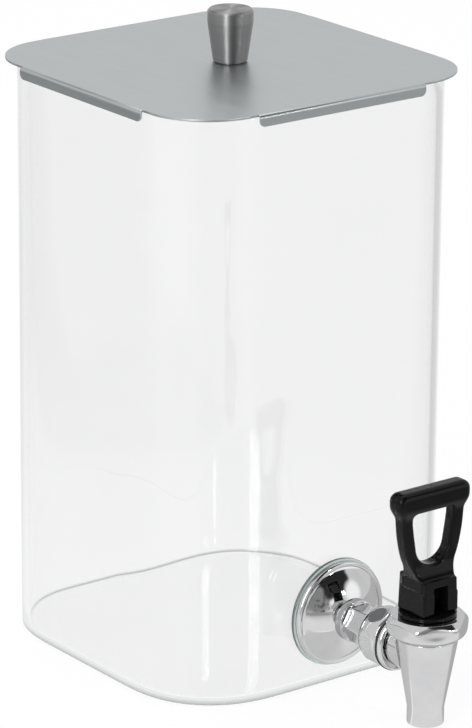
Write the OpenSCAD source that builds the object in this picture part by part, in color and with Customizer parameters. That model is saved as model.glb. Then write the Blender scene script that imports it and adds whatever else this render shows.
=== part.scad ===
// Juice dispenser: a clear square vessel with a lift-off steel lid and a chromed lever tap.
// Millimetres. +Z is up, the origin is the middle of the vessel's underside, and the tap faces -Y.

/* [Vessel] */
// Outside width and depth of the vessel
vessel_side = 170; // [150:1:220]
// Height of the vessel, from its underside to its rim
vessel_h = 284.5; // [200:0.5:340]
// Outside radius of the vessel's upright corners
vessel_corner_r = 46; // [25:1:60]
// Thickness of the vessel's walls
vessel_wall = 3.5; // [2.5:0.1:6]
// Thickness of the vessel's floor
vessel_floor = 4; // [3:0.1:10]
// Diameter of the tap's hole in the front wall
wall_hole_d = 17; // [16.4:0.1:22]

/* [Lid] */
// Thickness of the lid's sheet
lid_t = 1; // [0.8:0.1:1.4]
// Radius of the lid's corners
lid_corner_r = 32; // [20:1:55]
// Gap between a turned-down tab and the vessel's wall
lid_clear = 0.7; // [0.3:0.1:2]
// Stretch of straight edge left plain between a tab and a corner
tab_inset = 5; // [1.5:0.1:12]
// Depth of a tab, from the lid's top face
tab_drop = 5.6; // [4.6:0.1:12]
// Radius of a tab's lower corners
tab_corner_r = 2.8; // [0.5:0.1:3.2]

/* [Knob] */
// Diameter of the knob's top
knob_top_d = 21.8; // [18:0.1:32]
// Diameter of the knob where its taper starts
knob_base_d = 16.4; // [14.5:0.1:18]
// Height of the knob above the lid
knob_h = 25.4; // [20:0.1:40]
// Height of the straight band at the knob's top
knob_band_h = 6; // [2:0.1:10]
// Radius of the knob's top edge
knob_edge_r = 1; // [0.4:0.1:1.8]
// Diameter of the knob's foot
knob_foot_d = 14; // [9:0.1:14.4]
// Height of the knob's foot
knob_foot_h = 0.6; // [0.3:0.1:2]
// Diameter of the knob's screw
screw_d = 5; // [3:0.1:6]
// Depth of the screw in the knob
screw_reach = 12; // [6:0.5:16]
// Diameter of the screw's head
screw_head_d = 9; // [7:0.1:12]
// Height of the screw's head
screw_head_h = 2.8; // [2:0.1:4]
// Width across flats of the screw's hexagon socket
screw_key = 3; // [2:0.1:4]
// Depth of the screw's hexagon socket
screw_key_depth = 1.6; // [1:0.1:1.8]
// Diameter of the washer under the lid
washer_d = 14; // [12.5:0.1:24]
// Thickness of the washer under the lid
washer_t = 1; // [0.6:0.1:2]

/* [Tap place] */
// Height of the shank's axis above the vessel's underside
tap_z = 35.5; // [35:0.5:120]
// Distance from the vessel's front face to the tap's upright axis
tap_reach = 68; // [62:0.5:90]

/* [Wall fitting] */
// Diameter of the shank's thread in the wall
shank_d = 16; // [15:0.1:16.2]
// Bore of the shank
shank_bore_d = 8; // [5:0.1:9]
// Length of shank that stands in past the lock nut
shank_tail = 2; // [0.5:0.1:6]
// Diameter of the clear gasket behind the escutcheon
gasket_d = 52.8; // [51:0.1:62]
// Thickness of the clear gasket
gasket_t = 1.8; // [1:0.1:4]
// Diameter of the escutcheon
esc_d = 50.8; // [44:0.1:52.4]
// Height of the escutcheon's rim
esc_rim_h = 3; // [2:0.1:5]
// Width of the flat band round the escutcheon
esc_band = 2.6; // [2:0.1:5]
// Height of the escutcheon's dome above its band
esc_dome_h = 8.2; // [4:0.1:10]
// Thickness of the escutcheon's shell
esc_wall = 1.2; // [0.8:0.1:1.8]
// Diameter of the shank's round collar
collar_d = 20.6; // [20:0.1:24]
// Thickness of the shank's round collar
collar_t = 4.2; // [2:0.1:6]
// Width across flats of the shank's hexagon
shank_af = 17; // [15:0.1:17.6]
// Diameter of the gasket inside the vessel
inner_gasket_d = 29; // [26:0.1:36]
// Thickness of the gasket inside the vessel
inner_gasket_t = 2; // [1:0.1:4]
// Diameter of the flat washer inside the vessel
inner_washer_d = 27; // [24:0.1:34]
// Thickness of the flat washer inside the vessel
inner_washer_t = 1.2; // [0.8:0.1:2.5]
// Width across flats of the lock nut
lock_nut_af = 24; // [20:0.1:30]
// Thickness of the lock nut
lock_nut_t = 6; // [4:0.1:8]

/* [Coupling] */
// Diameter of the shank's thread in the tap
inlet_d = 13; // [11.5:0.1:13.4]
// Width across flats of the coupling nut
coupling_af = 27.4; // [26:0.1:28.4]
// Length of the coupling nut's hexagon
coupling_hex_len = 12.2; // [8:0.1:15]
// Turn of the coupling nut's flats, in degrees
coupling_turn = 28; // [0:1:60]
// Diameter of the coupling nut's round flange
coupling_flange_d = 29.2; // [26:0.1:30]
// Thickness of the coupling nut's round flange
coupling_flange_t = 2; // [1:0.1:4]
// Diameter of the coupling nut's inner end
coupling_end_d = 26; // [21:0.1:28]
// Length of the slope at each end of the coupling nut's hexagon
coupling_slope = 4; // [2:0.1:4]
// Diameter of the coupling's sealing washer
coupling_seal_d = 28.4; // [16:0.1:29.2]
// Thickness of the coupling's sealing washer
coupling_seal_t = 1; // [0.6:0.1:2]

/* [Tap body] */
// Drop of the spout's end below the shank's axis
spout_drop = 33.1; // [28:0.1:34.5]
// Outside diameter of the spout's end
spout_d = 17.4; // [16.4:0.1:20]
// Length of the spout's straight end
spout_len = 8.1; // [4:0.1:12]
// Bore of the spout
spout_bore_d = 14.4; // [12.6:0.1:15.4]
// Diameter of the body under the bonnet nut
body_d = 29; // [27.4:0.1:29.8]
// Height of the body's shoulder above the shank's axis
shoulder_rise = 8; // [7.4:0.1:14]
// Diameter of the body's threaded neck
neck_d = 26; // [23:0.1:27]
// Height of the body's threaded neck
neck_h = 6; // [4:0.1:6.5]
// Diameter of the valve chamber
chamber_d = 19; // [18:0.1:20]
// Drop of the valve seat below the shank's axis
seat_drop = 11.5; // [10:0.1:14]
// Diameter of the hole in the valve seat
seat_hole_d = 12; // [8:0.1:13]
// Thickness of the valve seat
seat_t = 2; // [1:0.1:4]
// Height of the cone between the seat and the spout's bore
throat_h = 2; // [1:0.1:4]
// Diameter of the body's inlet boss
boss_d = 21.6; // [18:0.1:22]
// Diameter of the flared end of the inlet boss
boss_flare_d = 27.8; // [22:0.1:28.2]
// Length of the flared end of the inlet boss
boss_flare_len = 2.4; // [1:0.1:3]
// Distance from the tap's upright axis to the face of the inlet boss
boss_reach = 19.8; // [18.8:0.1:20]
// Metal left between the shank's tip and the valve chamber
tip_wall = 1.5; // [0.8:0.1:3]

/* [Bonnet] */
// Width across flats of the bonnet nut
bonnet_af = 35; // [32:0.1:35.4]
// Height of the bonnet nut
bonnet_h = 12.2; // [11.8:0.1:16]
// Diameter of the bonnet nut's lower edge
bonnet_skirt_d = 30; // [28:0.1:32]
// Diameter of the bonnet nut's top face
bonnet_top_d = 34; // [30:0.1:38]
// Height of the slope below the bonnet nut's flats
bonnet_low_slope = 8; // [4:0.1:8.5]
// Height of the slope above the bonnet nut's flats
bonnet_top_slope = 2.5; // [1:0.1:3]
// Turn of the bonnet nut's flats, in degrees
bonnet_turn = -25; // [-30:1:30]
// Thickness of the washer under the stem's bush
bonnet_seal_t = 1; // [0.6:0.1:1.2]
// Diameter of the bush's flange
bush_flange_d = 25; // [20:0.1:25.6]
// Thickness of the bush's flange
bush_flange_t = 1.5; // [1:0.1:1.8]
// Diameter of the bush's tube
bush_d = 13; // [12.4:0.1:16]
// Thickness of the ring that seals the stem
stem_seal_t = 1.8; // [1.2:0.1:2]

/* [Valve] */
// Diameter of the stem
stem_d = 6.4; // [5.6:0.1:6.6]
// Diameter of the stem's eye
eye_d = 8; // [6.8:0.1:8.6]
// Width of the stem's eye
eye_w = 7; // [5:0.1:7.4]
// Diameter of the stem's collar, on which the spring stands
stem_collar_d = 13.6; // [12.6:0.1:15]
// Thickness of the stem's collar
stem_collar_t = 1.5; // [1:0.1:2]
// Diameter of the stem's stub in the seat cup
stub_d = 5; // [3:0.1:6]
// Length of the stem's stub in the seat cup
stub_len = 3.5; // [2:0.1:4]
// Diameter of the soft seat cup
cup_d = 16.8; // [14.6:0.1:17.4]
// Height of the soft seat cup
cup_h = 6; // [5:0.1:7]
// Diameter of the spring's wire
spring_wire_d = 1; // [0.6:0.1:1.4]
// Diameter of the spring, at the middle of its wire
spring_d = 10.4; // [9:0.1:11]
// Number of turns of the spring
spring_turns = 6; // [4:1:8]

/* [Handle] */
// Diameter of the wear ring under the handle
ring_d = 27.2; // [24:0.1:30]
// Thickness of the wear ring
ring_t = 2; // [1:0.1:4]
// Width and depth of the handle's block
block_w = 19.6; // [19:0.1:24]
// Diameter that the block's corners are turned to
block_round_d = 27.4; // [24:0.1:30]
// Height of the handle's block
block_h = 17; // [15:0.1:24]
// Height of the pin above the handle's base
pin_up = 7; // [6:0.1:7.4]
// Diameter of the handle's pin
pin_d = 4; // [2.5:0.1:4.4]
// Depth of the pin's end below the block's right side
pin_sink = 0.6; // [0.2:0.1:2]
// Plastic left between the pin's hole and the block's left side
pin_skin = 2; // [1:0.1:3]
// Width of the slot for the stem
slot_w = 8; // [7.6:0.1:10]
// Height of the slot for the stem
slot_h = 13.5; // [12.2:0.1:14.5]
// Largest forward tilt of the handle, in degrees
tilt_max = 25; // [15:1:42]
// Lift of the stem for each radian of tilt
lift_rate = 6.4; // [3:0.1:7.5]
// Height of the handle's bar above its base
bar_up = 54.8; // [45:0.1:70]
// Diameter of the handle's bar
bar_d = 11; // [8:0.1:14]
// Length of the handle's bar
bar_len = 42.4; // [40:0.1:60]
// Thickness of the loop, front to back
loop_t = 7; // [5:0.1:12]
// Width of the loop where it leaves the block
loop_root_w = 19.2; // [17.5:0.1:19.4]
// Width of the loop at the bottom of its opening
loop_low_w = 26; // [22:0.1:28]
// Width of the loop under the bar
loop_top_w = 37.4; // [34:0.1:39]
// Width of the loop beside its opening
loop_mid_w = 32.6; // [29:0.1:34]
// Width of each leg of the loop under the bar
leg_w = 6.2; // [3:0.1:7]
// Height of the bottom of the loop's opening above the handle's base
open_up = 23.2; // [22:0.1:30]
// Radius of the bottom of the loop's opening
open_r = 10; // [7:0.1:10.4]
// Depth of the neck where it leaves the block, front to back
neck_root_t = 16; // [8:0.1:18]

/* [Clearances] */
// Gap round a threaded or pressed piece
fit_clear = 0.05; // [0.02:0.01:0.1]
// Gap round a pin or a stem that moves
run_clear = 0.05; // [0.02:0.01:0.1]
// Gap round a bolt, a stem or a shank in a plain hole
pass_clear = 0.3; // [0.1:0.05:0.5]
// Gap between the handle's heel and the wear ring
heel_clear = 0.15; // [0.1:0.01:0.4]
// Gap between the bonnet nut and the body
bonnet_clear = 0.4; // [0.2:0.05:0.6]

/* [Hidden] */
$fn = 96;
// Overshoot of a cut past the face that it opens
over = 1;

// Lid: its plate is as wide as the vessel, and the tabs bend down past its edges
lid_top = vessel_h + lid_t;
// Outside radius of the bend into a tab: its inside radius is the tab's gap, so it clears the rim
bend_r = lid_t + lid_clear;
tab_out = vessel_side / 2 + bend_r;
tab_len = vessel_side - 2 * lid_corner_r - 2 * tab_inset;
// Length of a tab's sheet that runs into the plate
tab_root = 2 * lid_t;

// Distances out from the vessel's front face, along the shank
rim_out = gasket_t + esc_rim_h;
collar_out = rim_out + esc_dome_h;
hex_out = collar_out + collar_t;
boss_out = tap_reach - boss_reach;
coupling_out = boss_out - coupling_seal_t - coupling_flange_t - coupling_hex_len;
tip_out = tap_reach - chamber_d / 2 - tip_wall;
inner_out = -vessel_wall - inner_gasket_t;
lock_out = inner_out - inner_washer_t - lock_nut_t;
tail_out = lock_out - shank_tail;

// Heights on the tap's upright axis
tap_y = -vessel_side / 2 - tap_reach;
spout_z = tap_z - spout_drop;
seat_z = tap_z - seat_drop;
shoulder_z = tap_z + shoulder_rise;
neck_z = shoulder_z + neck_h;
bush_z = neck_z + bonnet_seal_t;
roof_z = bush_z + bush_flange_t;
bonnet_z = shoulder_z + bonnet_clear;
bonnet_top = bonnet_z + bonnet_h;
ring_top = bonnet_top + ring_t;
handle_z = ring_top + heel_clear;
pin_z = handle_z + pin_up;
stem_collar_z = seat_z + cup_h;
spring_z = stem_collar_z + stem_collar_t;

// Radii that several pieces share
bush_bore_r = stem_d / 2 + run_clear;
seal_pocket_r = stem_d / 2 + run_clear + stem_seal_t;
seal_pocket_h = stem_seal_t + pass_clear;

// Places a piece on the shank's axis, with its own Z pointing out from the wall
module out_of_wall(distance) {
    translate([0, -vessel_side / 2 - distance, tap_z])
        rotate([90, 0, 0])
            children();
}

// Places a piece on the tap's upright axis
module on_tap(height) {
    translate([0, tap_y, height])
        children();
}

// Turns a piece's own Z to point along X
module along_x() {
    rotate([0, 90, 0])
        children();
}

module rounded_square(side, r) {
    square([side, side - 2 * r], center = true);
    square([side - 2 * r, side], center = true);
    for (x = [-1, 1], y = [-1, 1])
        translate([x * (side / 2 - r), y * (side / 2 - r)])
            circle(r);
}

module ring(outer_d, inner_d, height) {
    linear_extrude(height)
        difference() {
            circle(d = outer_d);
            circle(d = inner_d);
        }
}

module hex_bar(across_flats, height) {
    cylinder(d = across_flats / cos(30), h = height, $fn = 6);
}

// Vessel

module vessel() {
    color("azure", 0.35)
        difference() {
            linear_extrude(vessel_h)
                rounded_square(vessel_side, vessel_corner_r);
            translate([0, 0, vessel_floor])
                linear_extrude(vessel_h)
                    rounded_square(vessel_side - 2 * vessel_wall, vessel_corner_r - vessel_wall);
            out_of_wall(-vessel_wall - over)
                cylinder(d = wall_hole_d, h = vessel_wall + 2 * over);
        }
}

// Lid

// Area inside a bend, whose middle is at the origin: it goes back by reach, and down by drop
module bend_area(r, reach, drop) {
    circle(r);
    translate([-reach, -drop])
        square([reach, drop + r]);
    translate([-reach, -drop])
        square([reach + r, drop]);
}

// Section of a tab: a root inside the plate, a quarter bend and a short drop, with its outer face on x = 0
// and its top on y = 0
module tab_section() {
    drop = tab_drop - bend_r;
    translate([-bend_r, -bend_r])
        difference() {
            bend_area(bend_r, tab_root, drop);
            bend_area(bend_r - lid_t, tab_root + over, drop + over);
        }
}

// Face of a tab, with rounded lower corners, up to just above the lid
module tab_face() {
    translate([-tab_len / 2, tab_corner_r - tab_drop])
        square([tab_len, tab_drop - tab_corner_r + over]);
    translate([tab_corner_r - tab_len / 2, -tab_drop])
        square([tab_len - 2 * tab_corner_r, tab_drop + over]);
    for (x = [-1, 1])
        translate([x * (tab_len / 2 - tab_corner_r), tab_corner_r - tab_drop])
            circle(tab_corner_r);
}

// One turned-down tab on the +X side
module lid_tab() {
    translate([tab_out, 0, lid_top])
        intersection() {
            rotate([90, 0, 0])
                linear_extrude(tab_len + 2 * over, center = true)
                    tab_section();
            rotate([90, 0, 90])
                linear_extrude(2 * (bend_r + tab_root + over), center = true)
                    tab_face();
        }
}

module lid_plate() {
    color("silver") {
        difference() {
            translate([0, 0, vessel_h])
                linear_extrude(lid_t)
                    rounded_square(vessel_side, lid_corner_r);
            translate([0, 0, vessel_h - over])
                cylinder(d = screw_d + 2 * pass_clear, h = lid_t + 2 * over);
        }
        for (turn = [0 : 90 : 270])
            rotate(turn)
                lid_tab();
    }
}

module lid_knob() {
    color("gainsboro")
        translate([0, 0, lid_top])
            difference() {
                rotate_extrude() {
                    polygon([
                        [0, 0],
                        [knob_foot_d / 2, 0],
                        [knob_foot_d / 2, knob_foot_h],
                        [knob_base_d / 2, knob_foot_h],
                        [knob_top_d / 2, knob_h - knob_band_h],
                        [knob_top_d / 2, knob_h - knob_edge_r],
                        [knob_top_d / 2 - knob_edge_r, knob_h],
                        [0, knob_h]
                    ]);
                    translate([knob_top_d / 2 - knob_edge_r, knob_h - knob_edge_r])
                        circle(knob_edge_r);
                }
                translate([0, 0, -over])
                    cylinder(d = screw_d + 2 * fit_clear, h = screw_reach + 2 * over);
            }
}

module knob_washer() {
    color("silver")
        translate([0, 0, vessel_h - washer_t])
            ring(washer_d, screw_d + 2 * pass_clear, washer_t);
}

module knob_screw() {
    color("gray")
        translate([0, 0, vessel_h - washer_t])
            difference() {
                union() {
                    cylinder(d = screw_d, h = washer_t + lid_t + screw_reach);
                    translate([0, 0, -screw_head_h])
                        cylinder(d = screw_head_d, h = screw_head_h);
                }
                translate([0, 0, -screw_head_h - over])
                    hex_bar(screw_key, screw_key_depth + over);
            }
}

// Wall fitting

module outer_gasket() {
    color("honeydew")
        out_of_wall(0)
            ring(gasket_d, shank_d + 2 * fit_clear, gasket_t);
}

// Half section of the dome: the part of a ball that stands on the band and ends flat at the collar
module dome_section(shrink) {
    band_r = esc_d / 2 - esc_band;
    seat_r = collar_d / 2;
    sink = (band_r ^ 2 - seat_r ^ 2 - esc_dome_h ^ 2) / (2 * esc_dome_h);
    intersection() {
        translate([0, -sink])
            circle(sqrt(band_r ^ 2 + sink ^ 2) - shrink);
        translate([0, -esc_rim_h])
            square([esc_d, esc_rim_h + esc_dome_h - shrink]);
    }
}

module escutcheon() {
    hole_r = shank_d / 2 + pass_clear;
    color("lightgray")
        out_of_wall(rim_out)
            rotate_extrude()
                difference() {
                    union() {
                        translate([0, -esc_rim_h])
                            square([esc_d / 2, esc_rim_h]);
                        intersection() {
                            dome_section(0);
                            square([esc_d / 2, esc_dome_h]);
                        }
                    }
                    translate([0, -esc_rim_h - over])
                        square([esc_d / 2 - esc_wall, esc_rim_h + over - esc_wall]);
                    intersection() {
                        dome_section(esc_wall);
                        translate([0, -2 * esc_wall])
                            square([esc_d / 2, 2 * esc_wall + esc_dome_h]);
                    }
                    translate([0, -esc_rim_h - over])
                        square([hole_r, esc_rim_h + esc_dome_h + 2 * over]);
                }
}

module shank() {
    color("silver")
        difference() {
            union() {
                out_of_wall(tail_out)
                    cylinder(d = shank_d, h = collar_out - tail_out);
                out_of_wall(collar_out)
                    cylinder(d = collar_d, h = collar_t);
                out_of_wall(hex_out)
                    hex_bar(shank_af, coupling_out - hex_out);
                out_of_wall(coupling_out)
                    cylinder(d = inlet_d, h = tip_out - coupling_out);
            }
            out_of_wall(tail_out - over)
                cylinder(d = shank_bore_d, h = tip_out - tail_out + 2 * over);
        }
}

module inner_gasket() {
    color("honeydew")
        out_of_wall(inner_out)
            ring(inner_gasket_d, shank_d + 2 * fit_clear, inner_gasket_t);
}

module inner_washer() {
    color("silver")
        out_of_wall(inner_out - inner_washer_t)
            ring(inner_washer_d, shank_d + 2 * pass_clear, inner_washer_t);
}

module lock_nut() {
    color("silver")
        out_of_wall(lock_out)
            difference() {
                hex_bar(lock_nut_af, lock_nut_t);
                translate([0, 0, -over])
                    cylinder(d = shank_d + 2 * fit_clear, h = lock_nut_t + 2 * over);
            }
}

// Coupling

// Point outside a hexagon nut at which the slopes of its two ends would meet. Each slope starts at its
// end's radius, and reaches the hexagon's corners at its own height.
function slopes_meet(across_flats, low_r, low_slope, top_r, top_slope, height) =
    let (
        corner_r = across_flats / cos(30) / 2,
        rise = low_slope / (corner_r - low_r),
        fall = top_slope / (corner_r - top_r),
        past = (height - low_slope - top_slope) / (rise + fall)
    )
    [corner_r + past, low_slope + rise * past];

module coupling_nut() {
    end_r = coupling_end_d / 2;
    flange_r = coupling_flange_d / 2;
    color("silver")
        out_of_wall(coupling_out)
            difference() {
                union() {
                    intersection() {
                        rotate(coupling_turn)
                            hex_bar(coupling_af, coupling_hex_len);
                        rotate_extrude()
                            polygon([
                                [0, 0],
                                [end_r, 0],
                                slopes_meet(coupling_af, end_r, coupling_slope,
                                    flange_r, coupling_slope, coupling_hex_len),
                                [flange_r, coupling_hex_len],
                                [0, coupling_hex_len]
                            ]);
                    }
                    translate([0, 0, coupling_hex_len])
                        cylinder(d = coupling_flange_d, h = coupling_flange_t);
                }
                translate([0, 0, -over])
                    cylinder(d = inlet_d + 2 * fit_clear, h = coupling_hex_len + coupling_flange_t + 2 * over);
            }
}

module coupling_seal() {
    color("dimgray")
        out_of_wall(boss_out - coupling_seal_t)
            ring(coupling_seal_d, inlet_d + 2 * fit_clear, coupling_seal_t);
}

// Tap body

// Half section of the bonnet nut's round outline, grown by a gap, with its lower edge on y = 0
module bonnet_section(gap) {
    low_r = bonnet_skirt_d / 2;
    top_r = bonnet_top_d / 2;
    polygon([
        [0, 0],
        [low_r + gap, 0],
        slopes_meet(bonnet_af, low_r, bonnet_low_slope, top_r, bonnet_top_slope, bonnet_h) + [gap, 0],
        [top_r + gap, bonnet_h],
        [0, bonnet_h]
    ]);
}

module body_outside() {
    on_tap(0)
        rotate_extrude()
            polygon([
                [0, spout_z],
                [spout_d / 2, spout_z],
                [spout_d / 2, spout_z + spout_len],
                [body_d / 2, shoulder_z],
                [neck_d / 2, shoulder_z],
                [neck_d / 2, neck_z],
                [0, neck_z]
            ]);
    difference() {
        out_of_wall(boss_out) {
            cylinder(d = boss_d, h = boss_reach);
            cylinder(d1 = boss_flare_d, d2 = boss_d, h = boss_flare_len);
        }
        on_tap(shoulder_z)
            rotate_extrude()
                bonnet_section(bonnet_clear);
    }
}

module body_inside() {
    on_tap(0)
        rotate_extrude()
            polygon([
                [0, spout_z - over],
                [spout_bore_d / 2, spout_z - over],
                [spout_bore_d / 2, seat_z - seat_t - throat_h],
                [seat_hole_d / 2, seat_z - seat_t],
                [seat_hole_d / 2, seat_z],
                [chamber_d / 2, seat_z],
                [chamber_d / 2, neck_z + over],
                [0, neck_z + over]
            ]);
    out_of_wall(boss_out - over)
        cylinder(d = inlet_d + 2 * fit_clear, h = tip_out - boss_out + over);
    out_of_wall(boss_out)
        cylinder(d = shank_bore_d, h = boss_reach);
}

module tap_body() {
    color("silver")
        difference() {
            body_outside();
            body_inside();
        }
}

// Bonnet

module bonnet_nut() {
    color("silver")
        on_tap(bonnet_z)
            difference() {
                intersection() {
                    rotate(bonnet_turn)
                        hex_bar(bonnet_af, bonnet_h);
                    rotate_extrude()
                        bonnet_section(0);
                }
                translate([0, 0, -over])
                    cylinder(d = neck_d + 2 * fit_clear, h = roof_z - bonnet_z + over);
                cylinder(d = bush_d + 2 * fit_clear, h = bonnet_h + over);
            }
}

module bonnet_seal() {
    color("whitesmoke")
        on_tap(neck_z)
            ring(bush_flange_d, chamber_d, bonnet_seal_t);
}

module stem_bush() {
    color("white")
        on_tap(bush_z)
            difference() {
                union() {
                    cylinder(d = bush_flange_d, h = bush_flange_t);
                    cylinder(d = bush_d, h = bonnet_top - bush_z);
                }
                translate([0, 0, -over])
                    cylinder(r = bush_bore_r, h = bonnet_top - bush_z + 2 * over);
                translate([0, 0, bonnet_top - bush_z - seal_pocket_h])
                    cylinder(r = seal_pocket_r, h = seal_pocket_h + over);
            }
}

module stem_seal() {
    color("dimgray")
        on_tap(bonnet_top - seal_pocket_h + stem_seal_t / 2 + run_clear)
            rotate_extrude()
                translate([seal_pocket_r - stem_seal_t / 2, 0])
                    circle(d = stem_seal_t - run_clear);
}

// Valve

module stem() {
    color("#151515")
        difference() {
            union() {
                on_tap(stem_collar_z - stub_len)
                    cylinder(d = stub_d, h = stub_len);
                on_tap(stem_collar_z)
                    cylinder(d = stem_collar_d, h = stem_collar_t);
                on_tap(spring_z)
                    cylinder(d = stem_d, h = pin_z - spring_z);
                on_tap(pin_z)
                    along_x()
                        cylinder(d = eye_d, h = eye_w, center = true);
            }
            on_tap(pin_z)
                along_x()
                    cylinder(d = pin_d + 2 * run_clear, h = eye_w + 2 * over, center = true);
        }
}

module seat_cup() {
    color("lightgray")
        on_tap(seat_z)
            difference() {
                cylinder(d = cup_d, h = cup_h);
                translate([0, 0, cup_h - stub_len - fit_clear])
                    cylinder(d = stub_d + 2 * fit_clear, h = stub_len + over);
            }
}

// The spring is one unbroken wire, wound between the stem's collar and the bush
wire_sides = 6;
rings_per_turn = 8;
wire_r = spring_wire_d / 2;
spring_low = spring_z + wire_r + fit_clear;
spring_high = bush_z - wire_r - fit_clear;
spring_rings = spring_turns * rings_per_turn;

function wire_point(i) =
    let (turn = 360 * i / rings_per_turn)
    [spring_d / 2 * cos(turn), spring_d / 2 * sin(turn),
        spring_low + (spring_high - spring_low) * i / spring_rings];

function wire_ring(i) =
    let (turn = 360 * i / rings_per_turn, middle = wire_point(i))
    [for (side = [0 : wire_sides - 1])
        let (angle = 360 * side / wire_sides)
        middle + wire_r * [cos(angle) * cos(turn), cos(angle) * sin(turn), sin(angle)]];

// Gap between one turn of wire and the next, measured from point to point
spring_gap = min([
    for (i = [0 : spring_rings - rings_per_turn])
        for (j = [i + rings_per_turn - 1 : min(i + rings_per_turn + 1, spring_rings)])
            norm(wire_point(i) - wire_point(j))
]) - spring_wire_d;
echo(spring_gap = spring_gap);

module stem_spring() {
    points = [for (i = [0 : spring_rings]) each wire_ring(i)];
    sides = [
        for (i = [0 : spring_rings - 1])
            for (side = [0 : wire_sides - 1])
                let (
                    a = i * wire_sides + side,
                    b = i * wire_sides + (side + 1) % wire_sides,
                    c = a + wire_sides,
                    d = b + wire_sides
                )
                each [[a, b, d], [a, d, c]]
    ];
    last = spring_rings * wire_sides;
    ends = [
        for (side = [1 : wire_sides - 2])
            each [[0, side + 1, side], [last, last + side, last + side + 1]]
    ];
    color("gray")
        on_tap(0)
            polyhedron(points, concat(sides, ends));
}

// Handle

module handle_ring() {
    color("#151515")
        on_tap(bonnet_top)
            ring(ring_d, stem_d + 2 * pass_clear, ring_t);
}

// Heel of the block at one tilt: the point that then rides on the wear ring, so the lift follows the tilt
function heel_point(tilt) =
    let (reach = pin_up + lift_rate * tilt * PI / 180)
    [-reach * sin(tilt) - lift_rate * cos(tilt), pin_up - reach * cos(tilt) + lift_rate * sin(tilt)];

heel_steps = 12;
heel_end = heel_point(tilt_max);
front_end = heel_end + block_w * [-cos(tilt_max), sin(tilt_max)];

module heel_side() {
    polygon(concat(
        [[block_w, 0]],
        [for (i = [0 : heel_steps]) heel_point(tilt_max * i / heel_steps)],
        [front_end, [front_end[0], block_h + block_w], [block_w, block_h + block_w]]
    ));
}

module handle_block() {
    intersection() {
        translate([-block_w / 2, -block_w / 2, 0])
            cube([block_w, block_w, block_h]);
        cylinder(d = block_round_d, h = block_h);
        rotate([90, 0, 90])
            linear_extrude(2 * block_w, center = true)
                heel_side();
    }
}

// The neck narrows from the block to the loop
module handle_neck() {
    root_sink = 0.5 * over;
    hull() {
        translate([-loop_root_w / 2, -neck_root_t / 2, block_h - root_sink])
            cube([loop_root_w, neck_root_t, root_sink]);
        translate([-loop_low_w / 2, -loop_t / 2, open_up - root_sink])
            cube([loop_low_w, loop_t, root_sink]);
    }
}

// Outline of the opening in the loop
module loop_opening() {
    inner_r = loop_top_w / 2 - leg_w;
    translate([0, open_up + open_r])
        circle(open_r);
    polygon([
        [-open_r, open_up + open_r],
        [open_r, open_up + open_r],
        [inner_r, bar_up],
        [-inner_r, bar_up]
    ]);
}

module handle_loop() {
    rotate([90, 0, 0])
        linear_extrude(loop_t, center = true)
            difference() {
                polygon([
                    [-loop_root_w / 2, block_h - over],
                    [loop_root_w / 2, block_h - over],
                    [loop_low_w / 2, open_up],
                    [loop_mid_w / 2, open_up + open_r],
                    [loop_top_w / 2, bar_up],
                    [-loop_top_w / 2, bar_up],
                    [-loop_mid_w / 2, open_up + open_r],
                    [-loop_low_w / 2, open_up]
                ]);
                loop_opening();
            }
}

module handle_bar() {
    translate([0, 0, bar_up])
        along_x() {
            cylinder(d = bar_d, h = bar_len - bar_d, center = true);
            for (end = [-1, 1])
                translate([0, 0, end * (bar_len - bar_d) / 2])
                    sphere(d = bar_d);
        }
}

module handle() {
    color("#151515")
        on_tap(handle_z)
            difference() {
                union() {
                    handle_block();
                    handle_neck();
                    handle_loop();
                    handle_bar();
                }
                translate([-slot_w / 2, -block_w, -over])
                    cube([slot_w, block_w + eye_d / 2 + 2 * pass_clear, slot_h + over]);
                translate([pin_skin - block_w / 2, 0, pin_up])
                    along_x()
                        cylinder(d = pin_d + 2 * fit_clear, h = block_w);
            }
}

module handle_pin() {
    color("gray")
        on_tap(pin_z)
            translate([pin_skin + fit_clear - block_w / 2, 0, 0])
                along_x()
                    cylinder(d = pin_d, h = block_w - pin_skin - fit_clear - pin_sink);
}

vessel();
lid_plate();
lid_knob();
knob_washer();
knob_screw();
outer_gasket();
escutcheon();
shank();
inner_gasket();
inner_washer();
lock_nut();
coupling_nut();
coupling_seal();
tap_body();
bonnet_nut();
bonnet_seal();
stem_bush();
stem_seal();
stem();
seat_cup();
stem_spring();
handle_ring();
handle();
handle_pin();
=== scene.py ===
import math

import bmesh
import bpy
import numpy as np
from mathutils import Matrix, Vector


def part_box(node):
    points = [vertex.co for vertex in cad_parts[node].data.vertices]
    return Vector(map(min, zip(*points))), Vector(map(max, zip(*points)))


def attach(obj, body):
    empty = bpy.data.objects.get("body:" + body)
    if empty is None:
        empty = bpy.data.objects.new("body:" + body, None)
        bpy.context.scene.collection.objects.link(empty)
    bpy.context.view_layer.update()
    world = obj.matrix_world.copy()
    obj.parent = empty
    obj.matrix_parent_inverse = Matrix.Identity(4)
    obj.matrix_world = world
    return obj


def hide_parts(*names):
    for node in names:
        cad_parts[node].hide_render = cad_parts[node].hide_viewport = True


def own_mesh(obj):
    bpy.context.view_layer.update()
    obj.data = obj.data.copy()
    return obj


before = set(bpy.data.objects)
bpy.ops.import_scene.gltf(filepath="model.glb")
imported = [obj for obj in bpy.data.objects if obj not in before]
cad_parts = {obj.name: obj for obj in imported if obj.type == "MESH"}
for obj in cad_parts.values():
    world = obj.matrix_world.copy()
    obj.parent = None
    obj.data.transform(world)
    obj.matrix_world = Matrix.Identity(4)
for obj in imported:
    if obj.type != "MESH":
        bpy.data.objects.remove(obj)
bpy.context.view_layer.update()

# Sizes, in millimetres, as in the part's source
MM = 0.001
VESSEL_SIDE = 170.0
VESSEL_H = 284.5
VESSEL_CORNER_R = 46.0
VESSEL_WALL = 3.5
WALL_HOLE_D = 17.0
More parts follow.
